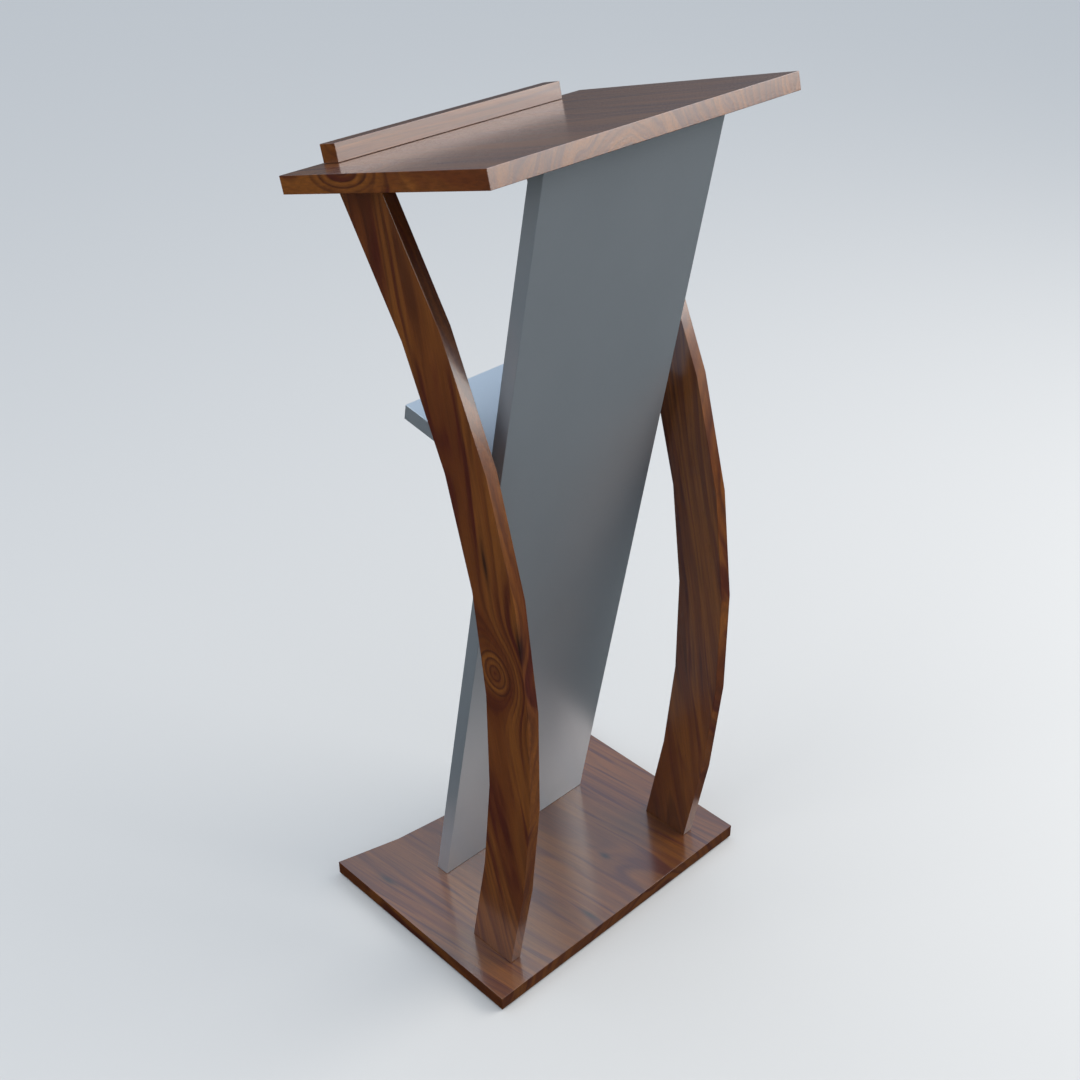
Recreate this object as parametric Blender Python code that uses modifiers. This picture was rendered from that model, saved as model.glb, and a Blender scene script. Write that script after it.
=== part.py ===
"""Lectern: a base board, a leaning column with a shelf, two bowed legs and a sloping desk.

Metres, +Z up. The audience is on the -Y side and the speaker on the +Y side. Z = 0 is the floor,
and the origin lies under the middle of the whole footprint.
"""

import math

import bmesh
import bpy
from mathutils import Matrix, Vector

# Base board and its glides
base_width = 0.500
base_depth = 0.373
base_thickness = 0.022
toe_cut_depth = 0.039           # how far the rear edge curves in at its middle
toe_cut_flats = 5               # straight cuts that make up that curve
glide_radius = 0.011
glide_height = 0.003
glide_inset = 0.031             # glide's centre in from the base's edges
glide_rounding = 0.0006

# Column and shelf
column_width = 0.292
column_thickness = 0.0215
column_foot_y = 0.061           # centre of the foot behind the middle of the base
column_top_inset = 0.0415       # centre of the top, down the slope from the desk's high edge
shelf_depth = 0.160
shelf_thickness = 0.0215
shelf_height = 0.778            # top of the shelf, measured up the column from the base

# Bowed legs
leg_width = 0.079
leg_thickness = 0.018
leg_clearance = 0.0325          # between a leg and the side of the column
leg_foot_y = -0.1077            # centre of a foot ahead of the middle of the base
leg_foot_rake = math.radians(11.8)   # forward lean of the leg where it leaves the base
leg_foot_pull = 0.377           # how far that lean carries up the leg
leg_top_inset = 0.0755          # centre of the top, up the slope from the desk's low edge
leg_top_rake = math.radians(36.8)    # backward lean of the leg where it meets the desk
leg_top_pull = 0.458
leg_flats = 7                   # straight cuts along each edge of a leg

# Desk and ledge
desk_width = 0.495
desk_depth = 0.370
desk_thickness = 0.022
desk_tilt = math.radians(15.0)
desk_low_y = 0.1725             # top of the desk's low edge, behind the middle of the base
desk_low_height = 1.124         # and above the floor
ledge_width = 0.366
ledge_depth = 0.030
ledge_height = 0.0225
ledge_setback = 0.007           # in from the desk's low edge
ledge_shift = -0.0047           # its middle from the middle of the desk, along X

# Cleat in the corner under the desk, behind the column
cleat_length = 0.240
cleat_reach = 0.036             # along the underside of the desk
cleat_height = 0.028            # square to the desk

# Screws, dowels and cam fittings
screw_radius = 0.0025           # base screws
screw_head_radius = 0.005
small_screw_radius = 0.002      # cleat and ledge screws
small_head_radius = 0.0039
glide_screw_radius = 0.0014
glide_head_radius = 0.0027
glide_screw_sink = 0.0006       # head above the face of a glide that meets the floor
head_rim = 0.0004               # straight side of a countersunk head
screw_well = 0.002              # how far a hole's cutter runs out past the face
screw_bite = 0.038              # base screws, into the end of a leg or the column
face_bite = 0.012               # any fastener, into the face of a board
leg_screw_spacing = 0.040
column_screw_spacing = 0.100
cleat_desk_screw_spacing = 0.090
cleat_column_screw_spacing = 0.130
cleat_screw_entry = 0.018       # heads of the cleat's column screws behind the column
cleat_screw_drop = 0.0126       # and below the cleat's upper corner
ledge_screw_spacing = 0.140
ledge_bite = 0.014
dowel_radius = 0.004
dowel_length = 0.030
dowel_chamfer = 0.001
leg_dowel_spacing = 0.040
shelf_dowel_spacing = 0.110
cam_spacing = 0.200
cam_radius = 0.0075
cam_height = 0.0135
cam_distance = 0.024            # centre of a cam from the shelf's front edge
cam_slot_width = 0.0044         # for the bolt's neck
cam_drive_length = 0.01125      # screwdriver slot in the face of a cam
cam_drive_width = 0.0016
cam_drive_depth = 0.002
bolt_radius = 0.0030
bolt_neck_radius = 0.0017
bolt_head_radius = 0.0030
bolt_head_length = 0.005
bolt_shoulder = 0.004           # its neck starts this far from the column's face
bolt_taper = 0.001
cam_hollow_room = 0.0015        # past each end of the bolt's head

# Making
joint_gap = 0.0003              # between touching pieces
arris = 0.0005                  # rounding of every board's edges
round_steps = 14

# Places that follow from the sizes above; +Y and +Z of a pair in the side view
base_top = glide_height + joint_gap + base_thickness
slope_down = Vector((math.cos(desk_tilt), -math.sin(desk_tilt)))
desk_normal = Vector((math.sin(desk_tilt), math.cos(desk_tilt)))
desk_low_edge = Vector((desk_low_y, desk_low_height))
under_low_edge = desk_low_edge - desk_normal * desk_thickness
under_high_edge = under_low_edge - slope_down * desk_depth
column_foot = Vector((column_foot_y, base_top))
column_top = under_high_edge + slope_down * column_top_inset
column_up = (column_top - column_foot).normalized()
column_lean = math.atan2(-column_up.x, column_up.y)
column_back = Vector((column_up.y, -column_up.x))
leg_foot = Vector((leg_foot_y, base_top))
leg_top = under_low_edge - slope_down * leg_top_inset
leg_inner_x = column_width / 2 + leg_clearance
leg_middle_x = leg_inner_x + leg_thickness / 2
front_reach = min(-base_depth / 2, under_high_edge.x)
rear_reach = max(base_depth / 2, desk_low_edge.x)
centring = -(front_reach + rear_reach) / 2
side_view_turn = (math.pi / 2, 0.0, math.pi / 2)   # an outline's x and y become +Y and +Z


def start_scene():
    for item in list(bpy.data.objects):
        bpy.data.objects.remove(item, do_unlink=True)
    made = []
    for name in ("lectern", "cutters"):
        collection = bpy.data.collections.new(name)
        bpy.context.scene.collection.children.link(collection)
        made.append(collection)
    return made


parts, cutters = start_scene()


def material(name, color, roughness, metallic=0.0):
    made = bpy.data.materials.new(name)
    made.use_nodes = True
    shader = made.node_tree.nodes["Principled BSDF"]
    shader.inputs["Base Color"].default_value = (*color, 1.0)
    shader.inputs["Roughness"].default_value = roughness
    shader.inputs["Metallic"].default_value = metallic
    made.diffuse_color = (*color, 1.0)
    return made


walnut = {"color": (0.110, 0.045, 0.020), "roughness": 0.32}
grey_lacquer = {"color": (0.200, 0.235, 0.260), "roughness": 0.38, "metallic": 0.55}
beech = {"color": (0.560, 0.400, 0.250), "roughness": 0.65}
zinc_steel = {"color": (0.600, 0.610, 0.620), "roughness": 0.35, "metallic": 1.0}
cast_zinc = {"color": (0.480, 0.480, 0.490), "roughness": 0.45, "metallic": 1.0}
nylon = {"color": (0.030, 0.030, 0.032), "roughness": 0.55}


def empty(name, location, turn_x=0.0, parent=None):
    made = bpy.data.objects.new(name, None)
    made.empty_display_size = 0.05
    made.location = location
    made.rotation_euler = (turn_x, 0.0, 0.0)
    made.parent = parent
    parts.objects.link(made)
    return made


def side_place(point, x=0.0):
    """A point of the side view as a place in the stand's frame."""
    return (x, point.x, point.y)


stand_frame = empty("stand_frame", (0.0, centring, 0.0))
column_frame = empty("column_frame", side_place(column_foot), column_lean, stand_frame)
desk_frame = empty("desk_frame", side_place(desk_low_edge), -desk_tilt, stand_frame)


def add_part(name, mesh, finish, parent):
    mesh.name = name
    mesh.materials.append(material(name, **finish))
    made = bpy.data.objects.new(name, mesh)
    made.parent = parent
    parts.objects.link(made)
    return made


def soften_edges(board, width=arris):
    bevel = board.modifiers.new("arris", "BEVEL")
    bevel.width = width
    bevel.segments = 2
    bevel.limit_method = "ANGLE"
    bevel.angle_limit = math.radians(30.0)


def box_board(name, low, high, finish, parent):
    """A board from its lowest to its highest corner in its parent's frame."""
    low, high = Vector(low), Vector(high)
    shape = bmesh.new()
    bmesh.ops.create_cube(shape, size=1.0, matrix=Matrix.Diagonal((*(high - low), 1.0)))
    mesh = bpy.data.meshes.new(name)
    shape.to_mesh(mesh)
    shape.free()
    made = add_part(name, mesh, finish, parent)
    made.location = (low + high) / 2
    soften_edges(made)
    return made


def outline_board(name, outline, thickness, location, finish, turn=(0.0, 0.0, 0.0)):
    """A board sawn to a flat outline, with its middle plane through its location."""
    curve = bpy.data.curves.new(name + "_outline", "CURVE")
    curve.dimensions = "2D"
    curve.fill_mode = "BOTH"
    curve.extrude = thickness / 2
    spline = curve.splines.new("POLY")
    spline.points.add(len(outline) - 1)
    for point, place in zip(spline.points, outline):
        point.co = (place.x, place.y, 0.0, 1.0)
    spline.use_cyclic_u = True
    drawn = bpy.data.objects.new(name + "_outline", curve)
    parts.objects.link(drawn)
    graph = bpy.context.evaluated_depsgraph_get()
    mesh = bpy.data.meshes.new_from_object(drawn.evaluated_get(graph))
    bpy.data.objects.remove(drawn)
    bpy.data.curves.remove(curve)
    shape = bmesh.new()
    shape.from_mesh(mesh)
    bmesh.ops.remove_doubles(shape, verts=shape.verts, dist=1e-5)
    bmesh.ops.dissolve_limit(
        shape, angle_limit=math.radians(0.5), verts=shape.verts, edges=shape.edges
    )
    bmesh.ops.recalc_face_normals(shape, faces=shape.faces)
    shape.to_mesh(mesh)
    shape.free()
    made = add_part(name, mesh, finish, stand_frame)
    made.location = location
    made.rotation_euler = turn
    soften_edges(made)
    return made


def meet(point, direction, plane_point, plane_normal):
    """Where a line of the side view meets a plane seen edge on."""
    along = (plane_point - point).dot(plane_normal) / direction.dot(plane_normal)
    return point + direction * along


straight_up = Vector((0.0, 1.0))
above_base = Vector((0.0, base_top + joint_gap))
below_desk = under_low_edge - desk_normal * joint_gap


def on_base(point, direction):
    return meet(point, direction, above_base, straight_up)


def under_desk(point, direction):
    return meet(point, direction, below_desk, desk_normal)


# Turned pieces
def turned_mesh(name, profile, steps=round_steps):
    """A solid of revolution: radius and height pairs, from the top of the axis to its bottom."""
    mesh = bpy.data.meshes.new(name)
    points = [(radius, 0.0, height) for radius, height in profile]
    mesh.from_pydata(points, [(i, i + 1) for i in range(len(points) - 1)], [])
    made = bpy.data.objects.new(name, mesh)
    screw = made.modifiers.new("turn", "SCREW")
    screw.steps = steps
    screw.render_steps = steps
    screw.use_merge_vertices = True
    screw.merge_threshold = 1e-5
    parts.objects.link(made)
    graph = bpy.context.evaluated_depsgraph_get()
    result = bpy.data.meshes.new_from_object(made.evaluated_get(graph))
    bpy.data.objects.remove(made)
    bpy.data.meshes.remove(mesh)
    result.shade_smooth()
    result.set_sharp_from_angle(angle=math.radians(35.0))
    return result


def add_cutter(name, mesh, place, parent):
    made = bpy.data.objects.new(name, mesh)
    made.parent = parent
    made.matrix_local = place
    made.hide_render = True
    made.display_type = "WIRE"
    cutters.objects.link(made)
    return made


def cut(board, cutter):
    boolean = board.modifiers.new(cutter.name, "BOOLEAN")
    boolean.operation = "DIFFERENCE"
    boolean.solver = "EXACT"
    boolean.object = cutter


def screw_profile(radius, head_radius, length, gap=0.0, mouth=0.0):
    """A countersunk screw under z = 0, or with a gap the hole that it sits in."""
    cone = head_radius - radius
    tip = 2.0 * radius
    return [
        (0.0, mouth),
        (head_radius + gap, mouth),
        (head_radius + gap, -head_rim),
        (radius + gap, -head_rim - cone),
        (radius + gap, -length + tip),
        (radius * 0.3 + gap, -length - gap),
        (0.0, -length - gap),
    ]


def socket_mesh(name, head_radius):
    """The six-sided drive socket of a screw's head, as a cutter through z = 0."""
    across, depth = 0.42 * head_radius, 0.5 * head_radius
    shape = bmesh.new()
    bmesh.ops.create_cone(
        shape, cap_ends=True, segments=6, radius1=across, radius2=across, depth=2 * depth
    )
    mesh = bpy.data.meshes.new(name)
    shape.to_mesh(mesh)
    shape.free()
    return mesh


def screw(name, boards, place, parent, radius, head_radius, length, sink=joint_gap,
          well=screw_well):
    """A screw whose head lies sunk under the face that +Z of its place points out of."""
    mesh = turned_mesh(name, screw_profile(radius, head_radius, length))
    made = add_part(name, mesh, zinc_steel, parent)
    made.matrix_local = place @ Matrix.Translation((0.0, 0.0, -sink))
    drive = socket_mesh(name + "_drive", head_radius)
    cut(made, add_cutter(name + "_drive", drive, made.matrix_local.copy(), parent))
    hole = turned_mesh(
        name + "_hole",
        screw_profile(radius, head_radius, length, joint_gap, mouth=sink + well),
    )
    hole_cutter = add_cutter(name + "_hole", hole, made.matrix_local.copy(), parent)
    for board in boards:
        cut(board, hole_cutter)
    return made


def dowel_profile(gap=0.0):
    """A dowel centred on z = 0, or with a gap the bore that it sits in."""
    half, radius = dowel_length / 2 + gap, dowel_radius + gap
    return [
        (0.0, half),
        (radius - dowel_chamfer, half),
        (radius, half - dowel_chamfer),
        (radius, -half + dowel_chamfer),
        (radius - dowel_chamfer, -half),
        (0.0, -half),
    ]


def dowel(name, boards, place, parent):
    made = add_part(name, turned_mesh(name, dowel_profile()), beech, parent)
    made.matrix_local = place
    bore = turned_mesh(name + "_bore", dowel_profile(joint_gap))
    cutter = add_cutter(name + "_bore", bore, place, parent)
    for board in boards:
        cut(board, cutter)
    return made


def aimed(location, out):
    """A place whose +Z points along out."""
    turn = Vector(out).to_track_quat("Z", "Y").to_matrix().to_4x4()
    return Matrix.Translation(Vector(location)) @ turn


def evenly(count, spacing):
    return [(index - (count - 1) / 2) * spacing for index in range(count)]


# Base
def toe_cut_outline():
    """The base seen from above, with its rear edge on an arc cut as straight flats."""
    half_width, half_depth = base_width / 2, base_depth / 2
    radius = (half_width**2 + toe_cut_depth**2) / (2 * toe_cut_depth)
    sweep = math.asin(half_width / radius)
    middle = Vector((0.0, half_depth - toe_cut_depth + radius))
    outline = [Vector((-half_width, -half_depth)), Vector((half_width, -half_depth))]
    for step in range(toe_cut_flats + 1):
        angle = sweep * (1 - 2 * step / toe_cut_flats)
        outline.append(middle + radius * Vector((math.sin(angle), -math.cos(angle))))
    return outline


base_board = outline_board(
    "base_board", toe_cut_outline(), base_thickness,
    (0.0, 0.0, base_top - base_thickness / 2), walnut,
)


def add_glides():
    underside = glide_height + joint_gap
    profile = [
        (0.0, glide_height),
        (glide_radius, glide_height),
        (glide_radius, glide_rounding),
        (glide_radius - glide_rounding, 0.0),
        (0.0, 0.0),
    ]
    for x_side, x_name in ((-1, "left"), (1, "right")):
        for y_side, y_name in ((-1, "front"), (1, "rear")):
            name = f"floor_glide_{y_name}_{x_name}"
            place = Vector((
                x_side * (base_width / 2 - glide_inset),
                y_side * (base_depth / 2 - glide_inset),
                0.0,
            ))
            glide = add_part(name, turned_mesh(name, profile), nylon, stand_frame)
            glide.location = place
            screw(
                f"glide_screw_{y_name}_{x_name}", [glide, base_board],
                aimed(place, (0.0, 0.0, -1.0)), stand_frame, glide_screw_radius,
                glide_head_radius, underside + face_bite, sink=glide_screw_sink,
            )


add_glides()

# Column and shelf
def column_outline():
    front = column_foot - column_back * column_thickness / 2
    back = column_foot + column_back * column_thickness / 2
    return [
        on_base(front, column_up),
        on_base(back, column_up),
        under_desk(back, column_up),
        under_desk(front, column_up),
    ]


column_board = outline_board(
    "column_board", column_outline(), column_width, (0.0, 0.0, 0.0), grey_lacquer, side_view_turn
)
shelf_front = column_thickness / 2 + joint_gap
shelf_board = box_board(
    "shelf_board",
    (-column_width / 2, shelf_front, shelf_height - shelf_thickness),
    (column_width / 2, column_thickness / 2 + shelf_depth, shelf_height),
    grey_lacquer, column_frame,
)


def add_column_screws():
    length = base_thickness + screw_bite
    middle = column_foot_y + column_up.x * screw_bite / 2
    bottom = base_top - base_thickness
    for number, x in enumerate(evenly(3, column_screw_spacing), 1):
        screw(
            f"column_foot_screw_{number}", [base_board, column_board],
            aimed((x, middle, bottom), (0.0, 0.0, -1.0)), stand_frame,
            screw_radius, screw_head_radius, length,
        )


def box_cutter(name, size, place):
    shape = bmesh.new()
    bmesh.ops.create_cube(shape, size=1.0, matrix=Matrix.Diagonal((*size, 1.0)))
    mesh = bpy.data.meshes.new(name)
    shape.to_mesh(mesh)
    shape.free()
    return add_cutter(name, mesh, place, column_frame)


def cylinder_profile(radius, top, bottom):
    return [(0.0, top), (radius, top), (radius, bottom), (0.0, bottom)]


shelf_middle = shelf_height - shelf_thickness / 2
column_face = column_thickness / 2
bolt_room = bolt_head_radius + joint_gap


def add_shelf_bolt(name, x):
    """A bolt screwed into the column, whose head stands at the middle of a cam in the shelf."""
    head_end = cam_distance + bolt_head_length / 2
    head_start = cam_distance - bolt_head_length / 2
    profile = [
        (0.0, head_end),
        (bolt_head_radius, head_end),
        (bolt_head_radius, head_start),
        (bolt_neck_radius, head_start - bolt_taper),
        (bolt_neck_radius, bolt_shoulder),
        (bolt_radius, bolt_shoulder / 2),
        (bolt_radius, -face_bite + bolt_taper),
        (bolt_radius * 0.6, -face_bite),
        (0.0, -face_bite),
    ]
    place = aimed((x, column_face, shelf_middle), (0.0, 1.0, 0.0))
    bolt = add_part(name, turned_mesh(name, profile), zinc_steel, column_frame)
    bolt.matrix_local = place
    bore = cylinder_profile(bolt_room, cam_distance, -face_bite - joint_gap)
    cutter = add_cutter(name + "_bore", turned_mesh("bore", bore), place, column_frame)
    cut(column_board, cutter)
    cut(shelf_board, cutter)


def add_shelf_cam(name, x):
    """A cam let into the underside of the shelf, slotted for the neck and the head of its bolt."""
    centre_y = column_face + cam_distance
    place = aimed((x, centre_y, shelf_height - shelf_thickness), (0.0, 0.0, -1.0))
    body = cylinder_profile(cam_radius, -joint_gap, -cam_height)
    cam = add_part(name, turned_mesh(name, body), cast_zinc, column_frame)
    cam.matrix_local = place
    pocket = cylinder_profile(cam_radius + joint_gap, screw_well, -cam_height - joint_gap)
    cut(shelf_board, add_cutter(name + "_pocket", turned_mesh("pocket", pocket), place, column_frame))
    neck_place = Matrix.Translation((x, centre_y - cam_radius, shelf_middle))
    cut(cam, box_cutter(name + "_slot", (cam_slot_width, 2 * cam_radius, 2 * bolt_room), neck_place))
    reach = bolt_head_length / 2 + cam_hollow_room
    hollow = cylinder_profile(bolt_room, reach + joint_gap, -reach)
    hollow_place = aimed((x, centre_y, shelf_middle), (0.0, 1.0, 0.0))
    cut(cam, add_cutter(name + "_hollow", turned_mesh("hollow", hollow), hollow_place, column_frame))
    drive_size = (cam_drive_length, cam_drive_width, 2 * cam_drive_depth)
    cut(cam, box_cutter(name + "_drive", drive_size, place))


def add_shelf_fittings():
    for side, x in zip(("left", "right"), evenly(2, cam_spacing)):
        add_shelf_bolt(f"shelf_bolt_{side}", x)
        add_shelf_cam(f"shelf_cam_{side}", x)
    middle = column_face - face_bite + dowel_length / 2
    for side, x in zip(("left", "right"), evenly(2, shelf_dowel_spacing)):
        dowel(
            f"shelf_dowel_{side}", [column_board, shelf_board],
            aimed((x, middle, shelf_middle), (0.0, 1.0, 0.0)), column_frame,
        )


add_column_screws()
add_shelf_fittings()

# Desk and ledge
desk_board = box_board(
    "desk_board", (-desk_width / 2, -desk_depth, -desk_thickness), (desk_width / 2, 0.0, 0.0),
    walnut, desk_frame,
)
ledge_rear = -ledge_setback
book_ledge = box_board(
    "book_ledge",
    (ledge_shift - ledge_width / 2, ledge_rear - ledge_depth, joint_gap),
    (ledge_shift + ledge_width / 2, ledge_rear, joint_gap + ledge_height),
    walnut, desk_frame,
)


def add_ledge_screws():
    middle = ledge_rear - ledge_depth / 2
    for number, x in enumerate(evenly(3, ledge_screw_spacing), 1):
        screw(
            f"ledge_screw_{number}", [desk_board, book_ledge],
            aimed((ledge_shift + x, middle, -desk_thickness), (0.0, 0.0, -1.0)), desk_frame,
            small_screw_radius, small_head_radius, desk_thickness + ledge_bite,
        )


add_ledge_screws()


# Bowed legs
def bow_middle(share):
    """A point of the leg's middle line and its direction, from foot (0) to top (1)."""
    foot_rise = Vector((-math.sin(leg_foot_rake), math.cos(leg_foot_rake)))
    top_rise = Vector((math.sin(leg_top_rake), math.cos(leg_top_rake)))
    foot_pull = leg_foot + leg_foot_pull * foot_rise
    top_pull = leg_top - leg_top_pull * top_rise
    rest = 1.0 - share
    point = (
        rest**3 * leg_foot + 3 * rest**2 * share * foot_pull
        + 3 * rest * share**2 * top_pull + share**3 * leg_top
    )
    direction = (
        rest**2 * (foot_pull - leg_foot) + 2 * rest * share * (top_pull - foot_pull)
        + share**2 * (leg_top - top_pull)
    )
    return point, direction.normalized()


def bow_edge(side):
    """One edge of the leg as straight flats, front (1) or rear (-1), cut to the base and the desk."""
    edge = []
    for step in range(leg_flats + 1):
        point, direction = bow_middle(step / leg_flats)
        across = Vector((-direction.y, direction.x))
        edge.append(point + side * leg_width / 2 * across)
    edge[0] = on_base(edge[0], edge[1] - edge[0])
    edge[-1] = under_desk(edge[-1], edge[-1] - edge[-2])
    return edge


def add_leg(name, side):
    outline = bow_edge(-1) + bow_edge(1)[::-1]
    leg = outline_board(
        name + "_leg", outline, leg_thickness, (side * leg_middle_x, 0.0, 0.0), walnut, side_view_turn
    )
    x = side * leg_middle_x
    _, foot_direction = bow_middle(0.0)
    drift = foot_direction.x / foot_direction.y * screw_bite / 2
    for end, offset in zip(("front", "rear"), evenly(2, leg_screw_spacing)):
        screw(
            f"{name}_leg_foot_screw_{end}", [base_board, leg],
            aimed((x, leg_foot_y + drift + offset, base_top - base_thickness), (0.0, 0.0, -1.0)),
            stand_frame, screw_radius, screw_head_radius, base_thickness + screw_bite,
        )
    for end, offset in zip(("front", "rear"), evenly(2, leg_dowel_spacing)):
        along = -leg_top_inset + offset
        height = -desk_thickness + face_bite - dowel_length / 2
        dowel(
            f"{name}_leg_top_dowel_{end}", [desk_board, leg],
            Matrix.Translation((x, along, height)), desk_frame,
        )


add_leg("left", -1)
add_leg("right", 1)


# Cleat under the desk
def add_cleat():
    behind = column_foot + column_back * (column_thickness / 2 + joint_gap)
    corner = under_desk(behind, column_up)
    far = corner + slope_down * cleat_reach
    far_low = far - desk_normal * cleat_height
    near_low = meet(behind, column_up, far_low, desk_normal)
    cleat = outline_board(
        "desk_cleat", [near_low, far_low, far, corner], cleat_length, (0.0, 0.0, 0.0),
        walnut, side_view_turn,
    )
    head = (near_low + far_low) / 2
    down = -desk_normal
    for number, x in enumerate(evenly(3, cleat_desk_screw_spacing), 1):
        screw(
            f"cleat_desk_screw_{number}", [cleat, desk_board],
            aimed(side_place(head, x), (0.0, down.x, down.y)), stand_frame,
            small_screw_radius, small_head_radius, cleat_height + joint_gap + face_bite,
        )
    entry = corner - column_up * cleat_screw_drop + column_back * cleat_screw_entry
    for number, x in enumerate(evenly(2, cleat_column_screw_spacing), 1):
        place = aimed(side_place(entry, x), (0.0, column_back.x, column_back.y))
        screw(
            f"cleat_column_screw_{number}", [cleat, column_board], place, stand_frame,
            small_screw_radius, small_head_radius, cleat_screw_entry + joint_gap + face_bite,
            well=cleat_reach,
        )


add_cleat()
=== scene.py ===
import math

import bpy
from mathutils import Matrix, Vector


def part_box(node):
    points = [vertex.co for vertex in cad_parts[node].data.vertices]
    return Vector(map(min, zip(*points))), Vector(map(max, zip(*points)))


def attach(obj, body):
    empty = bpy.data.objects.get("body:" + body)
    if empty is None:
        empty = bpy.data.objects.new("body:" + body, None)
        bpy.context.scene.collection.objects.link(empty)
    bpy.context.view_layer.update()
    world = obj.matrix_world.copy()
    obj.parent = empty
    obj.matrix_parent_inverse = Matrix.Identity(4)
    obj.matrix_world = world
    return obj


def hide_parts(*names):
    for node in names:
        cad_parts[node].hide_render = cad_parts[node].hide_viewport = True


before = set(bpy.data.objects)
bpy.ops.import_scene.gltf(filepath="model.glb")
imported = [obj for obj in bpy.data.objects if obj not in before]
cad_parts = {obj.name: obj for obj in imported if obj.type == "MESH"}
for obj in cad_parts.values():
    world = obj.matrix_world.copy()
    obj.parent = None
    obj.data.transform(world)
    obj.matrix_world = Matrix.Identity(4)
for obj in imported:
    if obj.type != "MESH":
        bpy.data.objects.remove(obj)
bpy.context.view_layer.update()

mmPerMetre = 1000.0
scene = bpy.context.scene
bpy.ops.object.select_all(action="DESELECT")
print("frame loaded:", len(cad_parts), "CAD nodes")


def linearColor(hexText):
    # r, g, b, 1 in linear light, from sRGB
    parts = [int(hexText[i:i + 2], 16) / 255 for i in (1, 3, 5)]
    return tuple(c / 12.92 if c <= 0.04045 else ((c + 0.055) / 1.055) ** 2.4 for c in parts) + (1.0,)


def addNode(tree, kind, *inputs, out=0, stops=(), **settings):
    # inputs go in by place, or by name or number in a dictionary; a socket among them is linked
    node = tree.nodes.new("ShaderNode" + kind)
    for name, value in settings.items():
        setattr(node, name, value)
    for count, (place, color) in enumerate(stops):
        ramp = node.color_ramp.elements
        stop = ramp[count] if count < len(ramp) else ramp.new(1.0)
        stop.position = place
        stop.color = color
    pairs = list(enumerate(inputs))
    if inputs and isinstance(inputs[0], dict):
        pairs = list(inputs[0].items())
    for name, value in pairs:
        if isinstance(value, bpy.types.NodeSocket):
            tree.links.new(value, node.inputs[name])
        else:
            node.inputs[name].default_value = value
    return node.outputs[out]


def newMaterial(name):
    material = bpy.data.materials.new(name)
    material.use_nodes = True
    return material, material.node_tree, material.node_tree.nodes["Principled BSDF"]


def paint(piece, material):
    piece.data.materials.clear()
    piece.data.materials.append(material)


sanding = {"meltAngle": 18.0}      # flats that meet at less than this run together


def sandedBoard(name, node):
    # the board as sawn, with the flats of its long curves sanded into each other
    bpy.ops.object.select_all(action="DESELECT")
    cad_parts[node].select_set(True)
    bpy.context.view_layer.objects.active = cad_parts[node]
    bpy.ops.object.duplicate()
    board = bpy.context.object
    board.name = name
    bpy.ops.mesh.customdata_custom_splitnormals_clear()
    bpy.ops.object.mode_set(mode="EDIT")
    bpy.ops.mesh.select_all(action="SELECT")
    bpy.ops.mesh.remove_doubles(threshold=1e-6)
    bpy.ops.mesh.dissolve_limited(angle_limit=math.radians(0.5))
    bpy.ops.object.mode_set(mode="OBJECT")
    bpy.ops.object.shade_smooth_by_angle(angle=math.radians(sanding["meltAngle"]))
    bpy.ops.object.select_all(action="DESELECT")
    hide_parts(node)
    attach(board, "root")
    return board


def mottle(tree, place, size, shift, detail=2.0, roughness=0.5):
    # soft cloudiness whose patches are about size = (x, y, z) millimetres
    spread = addNode(tree, "Mapping", {
        "Vector": place,
        "Location": (shift, shift * 1.7, -shift),
        "Scale": tuple(1.0 / s for s in size),
    })
    return addNode(tree, "TexNoise", {
        "Vector": spread,
        "Scale": 1.0,
        "Detail": detail,
        "Roughness": roughness,
    })


def growthRings(tree, turns, start=0.0):
    # one dark line of late wood in every whole turn
    turns = addNode(tree, "Math", turns, start, operation="ADD")
    turns = addNode(tree, "Math", turns, operation="FRACT")
    return addNode(tree, "ValToRGB", turns, stops=(
        (0.0, (0.2, 0.2, 0.2, 1)), (0.22, (0, 0, 0, 1)), (0.54, (0.35, 0.35, 0.35, 1)),
        (0.78, (1, 1, 1, 1)), (0.90, (1, 1, 1, 1)), (1.0, (0.2, 0.2, 0.2, 1))))


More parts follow.
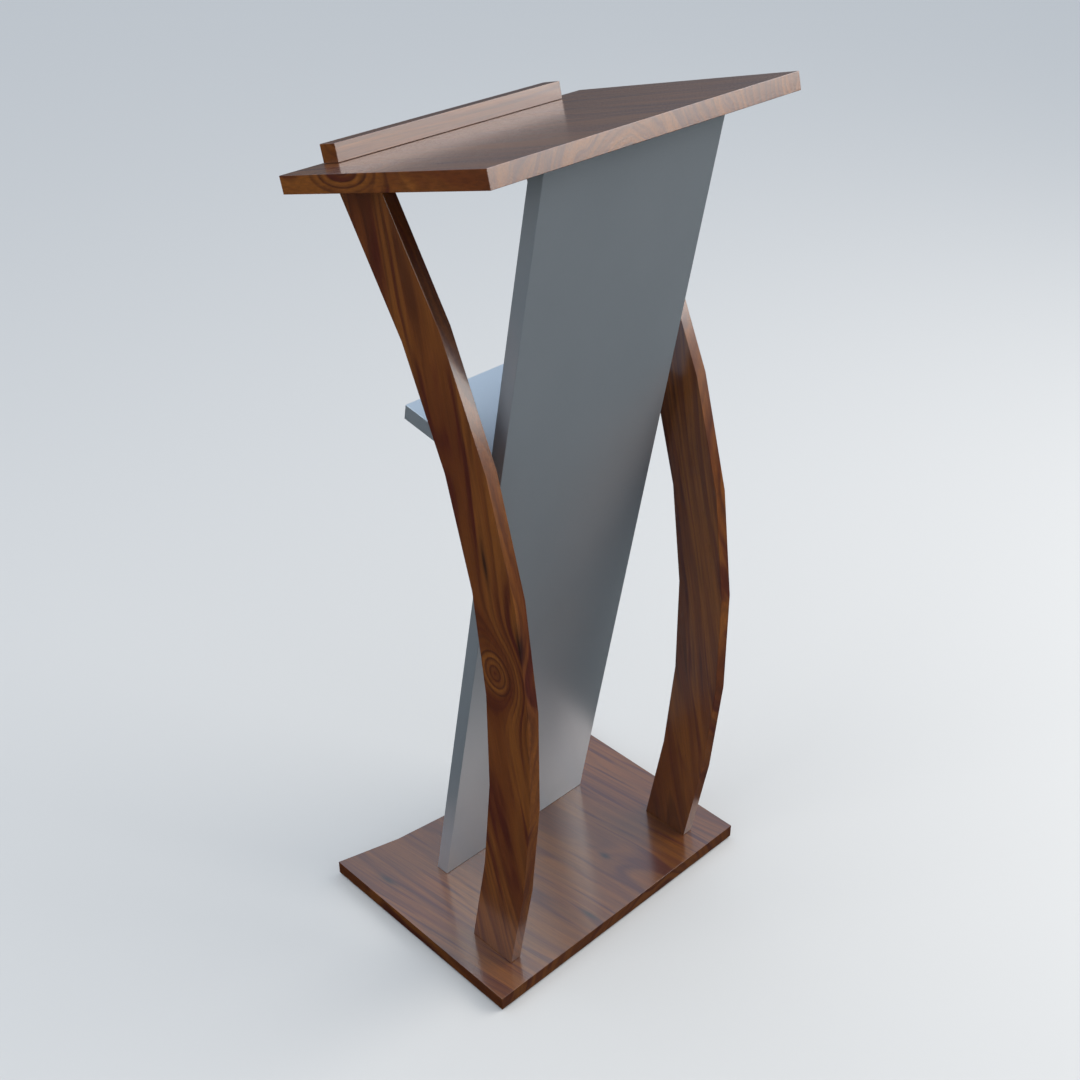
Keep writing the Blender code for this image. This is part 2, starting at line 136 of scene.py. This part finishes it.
# Black walnut, planed flat and sprayed with satin clear lacquer. Growth rings, reddish mineral
# streaks and open pores show through a soft gloss that has a slight orange peel.
walnut = {
    "light": "#784414",
    "middle": "#5F2E0E",
    "dark": "#3D1A0E",         # late wood and pores
    "streak": "#47170F",       # red-brown mineral streaks
    "gash": "#20100E",         # bark pockets
    "ringSpacing": 9.0,        # mm from one growth ring to the next
    # waves in the rings: size of a wave in mm, shift, how far it bends them in mm
    "waves": (((90, 80, 650), 0.0, 80.0), ((40, 30, 240), 3.1, 12.0)),
    # sizes of patches in mm: through the board, across the grain, along it
    "ringPatch": (60, 40, 160),
    "bandPatch": (60, 14, 400),
    "streakPatch": (45, 9, 210),
    "fibrePatch": (2.2, 1.6, 75),      # bundles of fibres, coarser than real ones
    "porePatch": (0.9, 0.8, 11),
    "peelPatch": (2.6, 2.6, 2.6),
    # from where to where in the noise each of them fades in
    "ringFade": (0.32, 0.64),
    "bandFade": (0.36, 0.66),
    "streakFade": (0.53, 0.68),
    "fibreFade": (0.3, 0.7),
    "poreFade": (0.63, 0.72),
    "peelFade": (0.2, 0.8),
    "streakDepth": 0.85,
    "fibreDepth": 0.2,
    "poreDepth": 0.45,
    "knotRings": 3.2,          # rings from a knot's middle to its rim
    "knotRise": 12.0,          # mm of growth that the grain beside a knot is bent by
    "knotBend": 0.45,          # how soon that grain runs straight again
    "paleStart": 0.25,         # a knot's rings start pale in its middle
    "heartShift": 0.55,        # or dark, where it has a heart
    "knotDepth": 0.8,
    "knotRim": (1.45, 1.1),    # squared distances between which the rings fade in
    "heartFall": 14.0,         # how small a knot's dark heart is
    "heartDepth": 0.7,
    "gashFall": 2.0,
    "gashDepth": 0.92,
    "roughness": 0.33,
    "roughnessSpread": (-0.04, 0.05),
    "innerIor": 1.5,
    "coat": 1.0,
    "coatRoughness": 0.17,
    "coatIor": 1.6,
    "poreRelief": -0.10,       # beside 1.0 for the orange peel
    "fibreRelief": 0.30,
    "bumpStrength": 0.5,
    "bumpDistance": 0.0001,
}
# how the grain lies in a board
leaning = Matrix.Rotation(math.radians(12.0), 3, "X")      # 12 degrees off Z, thickness along X
flat = Matrix(((0, 0, 1), (1, 0, 0), (0, 1, 0)))           # along Y, thickness along Z
lengthwise = Matrix(((0, 1, 0), (0, 0, 1), (1, 0, 0)))     # along X, thickness along Y
deskTilt = Matrix.Rotation(math.radians(15.0), 3, "X")
slantedGrain = Matrix.Rotation(math.radians(-7.0), 3, "Z")


def boardMiddle(board):
    low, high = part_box(board["node"])
    return (low + high) / 2 * mmPerMetre


def grainPlace(tree, board):
    # grain space is in mm from the board's middle: x through it, y across the grain, z along it
    return addNode(tree, "Mapping", {
        "Vector": addNode(tree, "TexCoord", out=3),
        "Location": tuple(-(board["grain"] @ boardMiddle(board))),
        "Rotation": tuple(board["grain"].to_euler()),
        "Scale": (mmPerMetre, mmPerMetre, mmPerMetre),
    })


def grainSpot(board, point):
    return board["grain"] @ (Vector(point) - boardMiddle(board))


def squaredDistance(tree, place, spot, size):
    # 1.0 on the ellipsoid of that size about the spot
    off = addNode(tree, "VectorMath", place, tuple(spot), operation="SUBTRACT")
    off = addNode(tree, "VectorMath", off, tuple(1.0 / s for s in size), operation="MULTIPLY")
    return addNode(tree, "VectorMath", off, off, out=1, operation="DOT_PRODUCT")


def pithDistance(tree, place, board):
    # mm from the pith, bent by slow waves
    fromPith = addNode(tree, "VectorMath", place, (*board["pith"], 0.0), operation="SUBTRACT")
    fromPith = addNode(tree, "VectorMath", fromPith, (1.0, 1.0, 0.0), operation="MULTIPLY")
    radius = addNode(tree, "VectorMath", fromPith, out=1, operation="LENGTH")
    for size, shift, reach in walnut["waves"]:
        wave = mottle(tree, place, size, board["seed"] + shift, 1.5)
        radius = addNode(tree, "Math", wave, reach, radius, operation="MULTIPLY_ADD")
    return radius


def addKnots(tree, place, board, radius):
    # gives the radius with the grain parted round the knots, the hearts, and each knot's area and rings
    hearts, knots = 0.0, []
    for point, size, heart in board["knots"]:
        spot = grainSpot(board, point)
        level = math.hypot(spot.x - board["pith"][0], spot.y - board["pith"][1])
        far = squaredDistance(tree, place, spot, size)
        near = addNode(tree, "Math", math.exp(-walnut["knotBend"]), far, operation="POWER")
        level += walnut["knotRise"]
        radius = addNode(tree, "Mix", {0: near, 2: radius, 3: level}, data_type="FLOAT")
        middleMark = addNode(tree, "Math", math.exp(-walnut["heartFall"]), far, operation="POWER")
        hearts = addNode(tree, "Math", middleMark, heart, hearts, operation="MULTIPLY_ADD")
        turns = addNode(tree, "Math", far, 0.5, operation="POWER")
        turns = addNode(tree, "Math", turns, walnut["knotRings"], operation="MULTIPLY")
        knotRing = growthRings(tree, turns, walnut["paleStart"] + walnut["heartShift"] * heart)
        knotRing = addNode(tree, "Math", knotRing, walnut["knotDepth"], operation="MULTIPLY")
        knots.append((addNode(tree, "MapRange", far, *walnut["knotRim"], 0.0, 1.0), knotRing))
    return radius, hearts, knots


def walnutColor(tree, place, board, fibre, pore):
    seed = board["seed"]
    radius = pithDistance(tree, place, board)
    radius, hearts, knots = addKnots(tree, place, board, radius)

    # everything that follows the rings is drawn in (x, radius, z)
    parts = addNode(tree, "SeparateXYZ", place)
    ringPlace = addNode(tree, "CombineXYZ", parts, radius, parts.node.outputs[2])
    ring = addNode(tree, "Math", radius, walnut["ringSpacing"], operation="DIVIDE")
    ring = growthRings(tree, ring)
    vary = mottle(tree, ringPlace, walnut["ringPatch"], seed + 9.0, 1.0)
    vary = addNode(tree, "MapRange", vary, *walnut["ringFade"], 0.0, board["figure"])
    ring = addNode(tree, "Math", ring, vary, operation="MULTIPLY")
    for area, knotRing in knots:
        ring = addNode(tree, "Mix", {0: area, 2: ring, 3: knotRing}, data_type="FLOAT")

    light, middling = linearColor(walnut["light"]), linearColor(walnut["middle"])
    dark, red, bark = (linearColor(walnut[key]) for key in ("dark", "streak", "gash"))
    band = mottle(tree, ringPlace, walnut["bandPatch"], seed + 5.0, 2.0, 0.45)
    band = addNode(tree, "MapRange", band, *walnut["bandFade"], interpolation_type="SMOOTHSTEP")
    color = addNode(tree, "Mix", {0: band, 6: light, 7: middling}, out=2, data_type="RGBA")
    color = addNode(tree, "Mix", {0: ring, 6: color, 7: dark}, out=2, data_type="RGBA")
    streak = mottle(tree, ringPlace, walnut["streakPatch"], seed + 7.7, 2.5)
    streak = addNode(tree, "MapRange", streak, *walnut["streakFade"], 0.0, walnut["streakDepth"],
                     interpolation_type="SMOOTHSTEP")
    color = addNode(tree, "Mix", {0: streak, 6: color, 7: red}, out=2, data_type="RGBA")
    hearts = addNode(tree, "Math", hearts, walnut["heartDepth"], operation="MULTIPLY", use_clamp=True)
    color = addNode(tree, "Mix", {0: hearts, 6: color, 7: red}, out=2, data_type="RGBA")
    for point, size in board["gashes"]:
        far = squaredDistance(tree, place, grainSpot(board, point), size)
        mark = addNode(tree, "Math", math.exp(-walnut["gashFall"]), far, operation="POWER")
        mark = addNode(tree, "Math", mark, walnut["gashDepth"], operation="MULTIPLY")
        color = addNode(tree, "Mix", {0: mark, 6: color, 7: bark}, out=2, data_type="RGBA")

    # the fibre tone, multiplied by the board's painted shade darkening
    paler, darker = 1 + walnut["fibreDepth"], 1 - walnut["fibreDepth"]
    tone = addNode(tree, "MapRange", fibre, *walnut["fibreFade"], darker * board["paintedShade"],
                   paler * board["paintedShade"])
    color = addNode(tree, "VectorMath", {0: color, "Scale": tone}, operation="SCALE")
    return addNode(tree, "Mix", {0: pore, 6: color, 7: dark}, out=2, data_type="RGBA")


def walnutBoard(name, board):
    material, tree, shader = newMaterial(name)
    seed = board["seed"]
    place = grainPlace(tree, board)
    fibre = mottle(tree, place, walnut["fibrePatch"], seed + 1.3)
    pore = mottle(tree, place, walnut["porePatch"], seed + 2.2, 1.0)
    pore = addNode(tree, "MapRange", pore, *walnut["poreFade"], 0.0, walnut["poreDepth"])
    tree.links.new(walnutColor(tree, place, board, fibre, pore), shader.inputs["Base Color"])

    peel = mottle(tree, place, walnut["peelPatch"], seed)
    smoothest, roughest = (walnut["roughness"] + s for s in walnut["roughnessSpread"])
    rough = addNode(tree, "MapRange", peel, *walnut["peelFade"], smoothest, roughest)
    tree.links.new(rough, shader.inputs["Roughness"])
    height = addNode(tree, "Math", pore, walnut["poreRelief"], peel, operation="MULTIPLY_ADD")
    height = addNode(tree, "Math", fibre, walnut["fibreRelief"], height, operation="MULTIPLY_ADD")
    bump = addNode(tree, "Bump", {
        "Height": height,
        "Strength": walnut["bumpStrength"],
        "Distance": walnut["bumpDistance"],
    })
    tree.links.new(bump, shader.inputs["Normal"])
    tree.links.new(bump, shader.inputs["Coat Normal"])
    shader.inputs["IOR"].default_value = walnut["innerIor"]
    shader.inputs["Coat Weight"].default_value = walnut["coat"]
    shader.inputs["Coat Roughness"].default_value = walnut["coatRoughness"]
    shader.inputs["Coat IOR"].default_value = walnut["coatIor"]
    if board["sanded"]:
        paint(sandedBoard(name.replace("walnut_", "sanded_"), board["node"]), material)
    paint(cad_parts[board["node"]], material)


# In each board, knots are (place, size, how dark their heart is) and gashes are (place, size): places
# in mm in the frame, sizes in mm in grain space. The pith is at (x, y) in mm in grain space. figure is
# how strongly the growth rings show. The darkening factor after it is painted shade: it darkens the
# whole board's walnut as a stand-in for less light falling on that board.
leftLeg = {
    "node": "left_leg",
    "sanded": True,
    "grain": leaning,
    "pith": (45.0, -55.0),
    "seed": 1.7,
    "figure": 0.62,
    "paintedShade": 1.0,
    "knots": (((-196.5, -124.0, 539.0), (40, 29, 34), 1.0),),
    "gashes": (((-196.5, -108.7, 698.0), (9, 6.0, 42)), ((-196.5, -169.0, 604.0), (9, 5.0, 38)),
               ((-188.0, -107.2, 863.0), (14, 8, 1.8)), ((-188.0, -113.8, 847.0), (14, 8, 1.8))),
}
walnutBoard("walnut_left_leg", leftLeg)

rightLeg = {
    "node": "right_leg",
    "sanded": True,
    "grain": leaning,
    "pith": (-60.0, 30.0),
    "seed": 12.4,
    "figure": 0.7,
    "paintedShade": 1.0,
    "knots": (),
    "gashes": (),
}
walnutBoard("walnut_right_leg", rightLeg)

baseBoard = {
    "node": "base_board",
    "sanded": True,
    "grain": flat @ slantedGrain,
    "pith": (-70.0, 40.0),
    "seed": 23.1,
    "figure": 0.4,
    # painted shade: this board's walnut is darkened to stand in for the dimmer light that falls on it
    "paintedShade": 0.78,
    "knots": (),
    "gashes": (((-219.5, 105.2, 25.0), (9, 7, 26)), ((56.1, -90.9, 25.0), (9, 8, 15)),
               ((-48.6, -160.3, 25.0), (9, 6, 22))),
}
walnutBoard("walnut_base_board", baseBoard)

deskBoard = {
    "node": "desk_board",
    "sanded": False,
    "grain": flat @ slantedGrain @ deskTilt,
    "pith": (-60.0, -80.0),
    "seed": 31.9,
    "figure": 0.7,
    "paintedShade": 1.0,
    "knots": (((-250.0, 55.0, 1158.0), (22, 60, 56), 0.0),),
    "gashes": (),
}
walnutBoard("walnut_desk_board", deskBoard)

bookLedge = {
    "node": "book_ledge",
    "sanded": False,
    "grain": lengthwise @ deskTilt,
    "pith": (-40.0, 30.0),
    "seed": 44.0,
    "figure": 0.6,
    "paintedShade": 1.0,
    "knots": (),
    "gashes": (),
}
walnutBoard("walnut_book_ledge", bookLedge)

deskCleat = {
    "node": "desk_cleat",
    "sanded": False,
    "grain": lengthwise,
    "pith": (-40.0, 30.0),
    "seed": 52.0,
    "figure": 0.6,
    "paintedShade": 1.0,
    "knots": (),
    "gashes": (),
}
walnutBoard("walnut_desk_cleat", deskCleat)
print("walnut boards painted")


# Medium-density fibreboard, sprayed with satin metallic-grey lacquer: an even color with fine
# flake, a half-metallic sheen and a fine orange peel.
lacquer = {
    "light": "#D3DCE2",
    "dark": "#C3CDD3",
    "flake": "#E2E8EC",
    "cloudPatch": (160, 160, 220),     # mm
    "flakePatch": (0.9, 0.9, 0.9),     # mm, far coarser than real flake
    "flakeFade": (0.55, 0.75),
    "flakeDepth": 0.15,
    "peelPatch": (3.0, 3.0, 3.0),      # mm
    "peelFade": (0.2, 0.8),
    "roughness": 0.32,
    "roughnessSpread": (-0.03, 0.04),
    "metallic": 0.78,
    "bumpStrength": 0.3,
    "bumpDistance": 0.0001,
}


def greyLacquer():
    material, tree, shader = newMaterial("satin_grey_lacquer")
    objectPlace = addNode(tree, "TexCoord", out=3)
    place = addNode(tree, "Mapping", {"Vector": objectPlace, "Scale": (mmPerMetre,) * 3})
    cloud = mottle(tree, place, lacquer["cloudPatch"], 4.0)
    dark, light = linearColor(lacquer["dark"]), linearColor(lacquer["light"])
    color = addNode(tree, "Mix", {0: cloud, 6: dark, 7: light}, out=2, data_type="RGBA")
    flake = mottle(tree, place, lacquer["flakePatch"], 8.0, 1.0)
    flake = addNode(tree, "MapRange", flake, *lacquer["flakeFade"], 0.0, lacquer["flakeDepth"])
    bright = linearColor(lacquer["flake"])
    color = addNode(tree, "Mix", {0: flake, 6: color, 7: bright}, out=2, data_type="RGBA")
    tree.links.new(color, shader.inputs["Base Color"])
    peel = mottle(tree, place, lacquer["peelPatch"], 2.0)
    smoothest, roughest = (lacquer["roughness"] + s for s in lacquer["roughnessSpread"])
    rough = addNode(tree, "MapRange", peel, *lacquer["peelFade"], smoothest, roughest)
    tree.links.new(rough, shader.inputs["Roughness"])
    bump = addNode(tree, "Bump", {
        "Height": peel,
        "Strength": lacquer["bumpStrength"],
        "Distance": lacquer["bumpDistance"],
    })
    tree.links.new(bump, shader.inputs["Normal"])
    shader.inputs["Metallic"].default_value = lacquer["metallic"]
    return material


greyPaint = greyLacquer()
for node in ("column_board", "shelf_board"):
    paint(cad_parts[node], greyPaint)
print("grey lacquer sprayed")


# Hidden fittings: zinc-plated steel screws, bright and slightly blotched; die-cast zinc cams,
# dull and grainy; fluted beech dowels; injection-moulded nylon glides, satin black.
fittings = {
    "zinc_plated_steel": {"colors": ("#B4B6B8", "#9FA3A8"), "roughness": 0.30, "metallic": 1.0,
                          "patch": (1.5, 1.5, 1.5)},
    "die_cast_zinc": {"colors": ("#9A9B9E", "#84868A"), "roughness": 0.45, "metallic": 1.0,
                      "patch": (0.8, 0.8, 0.8)},
    "turned_beech": {"colors": ("#D2A878", "#BC8E5F"), "roughness": 0.62, "metallic": 0.0,
                     "patch": (0.8, 0.8, 12.0)},
    "moulded_nylon": {"colors": ("#17171A", "#222226"), "roughness": 0.52, "metallic": 0.0,
                      "patch": (0.6, 0.6, 0.6)},
}
fittingSurface = {
    "colorFade": (0.35, 0.65),
    "roughnessFade": (0.3, 0.7),
    "roughnessSpread": (-0.06, 0.08),
    "bumpStrength": 0.3,
    "bumpDistance": 0.0001,
}
fittingNodes = {"screw": "zinc_plated_steel", "bolt": "zinc_plated_steel", "cam": "die_cast_zinc",
                "dowel": "turned_beech", "floor_glide": "moulded_nylon"}


def fittingMaterial(name):
    fitting = fittings[name]
    material, tree, shader = newMaterial(name)
    objectPlace = addNode(tree, "TexCoord", out=3)
    place = addNode(tree, "Mapping", {"Vector": objectPlace, "Scale": (mmPerMetre,) * 3})
    blotch = mottle(tree, place, fitting["patch"], 1.0, 3.0)
    amount = addNode(tree, "MapRange", blotch, *fittingSurface["colorFade"])
    first, second = (linearColor(c) for c in fitting["colors"])
    color = addNode(tree, "Mix", {0: amount, 6: first, 7: second}, out=2, data_type="RGBA")
    tree.links.new(color, shader.inputs["Base Color"])
    smoothest, roughest = (fitting["roughness"] + s for s in fittingSurface["roughnessSpread"])
    rough = addNode(tree, "MapRange", blotch, *fittingSurface["roughnessFade"], smoothest, roughest)
    tree.links.new(rough, shader.inputs["Roughness"])
    bump = addNode(tree, "Bump", {
        "Height": blotch,
        "Strength": fittingSurface["bumpStrength"],
        "Distance": fittingSurface["bumpDistance"],
    })
    tree.links.new(bump, shader.inputs["Normal"])
    shader.inputs["Metallic"].default_value = fitting["metallic"]
    return material


fittingMaterials = {name: fittingMaterial(name) for name in fittings}
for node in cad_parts:
    for word, name in fittingNodes.items():
        if word in node:
            paint(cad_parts[node], fittingMaterials[name])
print("fittings painted")


studio = {
    "floorColor": "#C8C6C2",
    "floorSide": 24.0,             # m
    "floorRoughness": 0.9,
    "backdrop": "#DEDCD8",         # past the floor's far edge
    "room": (                      # from straight down to straight up
        (0.00, "#141312"), (0.42, "#141312"), (0.49, "#585A5D"), (0.62, "#838B95"),
        (0.80, "#8E9DB2"), (0.92, "#E0ECFA"), (1.00, "#FFFFFF")),
    "roomStrength": 1.6,
    "lowGlow": "#1C1E20",          # light from below and to the right
    "lowGlowWay": (0.66, -0.38, -0.65),
    "lowGlowFade": (0.72, 0.96),
    "cameraPlace": (-1.2038, -1.2432, 1.7046),
    "cameraTarget": (0.0049, 0.0020, 0.5914),
    "lens": 50.0,                  # mm
    "sensor": 36.0,                # mm
}
softboxes = {
    "front_right_softbox": {"place": (2.1, -1.7, 2.35), "aim": (0, 0, 1.0), "size": (2.6, 2.2),
                            "power": 80.0, "color": "#FFFAF4"},
    "left_fill": {"place": (-2.8, 0.3, 1.9), "aim": (0, 0, 0.8), "size": (2.0, 2.0),
                  "power": 24.0, "color": "#FFFFFF"},
}
bpy.ops.mesh.primitive_plane_add(size=studio["floorSide"], location=(0, 0, 0))
floor = bpy.context.object
floor.name = "studio_floor"
floor.visible_glossy = False       # the boards' gloss shows the room, not a white floor
floorMaterial, _, floorShader = newMaterial("pale_floor")
floorShader.inputs["Base Color"].default_value = linearColor(studio["floorColor"])
floorShader.inputs["Roughness"].default_value = studio["floorRoughness"]
floor.data.materials.append(floorMaterial)


def buildRoom():
    # soft light from all round, strongest overhead
    world = bpy.data.worlds.new("studio_world")
    scene.world = world
    world.use_nodes = True
    tree = world.node_tree
    way = addNode(tree, "TexCoord")
    height = addNode(tree, "SeparateXYZ", way, out=2)
    height = addNode(tree, "MapRange", height, -1.0, 1.0)
    room = addNode(tree, "ValToRGB", height, stops=[(z, linearColor(c)) for z, c in studio["room"]])
    glow = addNode(tree, "VectorMath", way, studio["lowGlowWay"], out=1, operation="DOT_PRODUCT")
    glow = addNode(tree, "MapRange", glow, *studio["lowGlowFade"], interpolation_type="SMOOTHSTEP")
    added = linearColor(studio["lowGlow"])
    room = addNode(tree, "Mix", {0: glow, 6: room, 7: added}, out=2, data_type="RGBA", blend_type="ADD")
    room = addNode(tree, "VectorMath", {0: room, "Scale": studio["roomStrength"]}, operation="SCALE")
    seen = addNode(tree, "LightPath")
    backdrop = linearColor(studio["backdrop"])
    color = addNode(tree, "Mix", {0: seen, 6: room, 7: backdrop}, out=2, data_type="RGBA")
    tree.links.new(color, tree.nodes["Background"].inputs["Color"])


def turnTo(piece, place, target):
    piece.location = place
    piece.rotation_euler = (Vector(target) - Vector(place)).to_track_quat("-Z", "Y").to_euler()


def addSoftbox(name, values):
    light = bpy.data.lights.new(name, "AREA")
    light.shape = "RECTANGLE"
    light.size, light.size_y = values["size"]
    light.energy = values["power"]
    light.color = linearColor(values["color"])[:3]
    box = bpy.data.objects.new(name, light)
    scene.collection.objects.link(box)
    turnTo(box, values["place"], values["aim"])


buildRoom()
for name, values in softboxes.items():
    addSoftbox(name, values)

camera = bpy.data.objects.new("camera", bpy.data.cameras.new("camera"))
scene.collection.objects.link(camera)
turnTo(camera, studio["cameraPlace"], studio["cameraTarget"])
camera.data.lens = studio["lens"]
camera.data.sensor_width = studio["sensor"]
scene.camera = camera
scene.view_settings.view_transform = "Standard"
print("studio lit, camera placed")
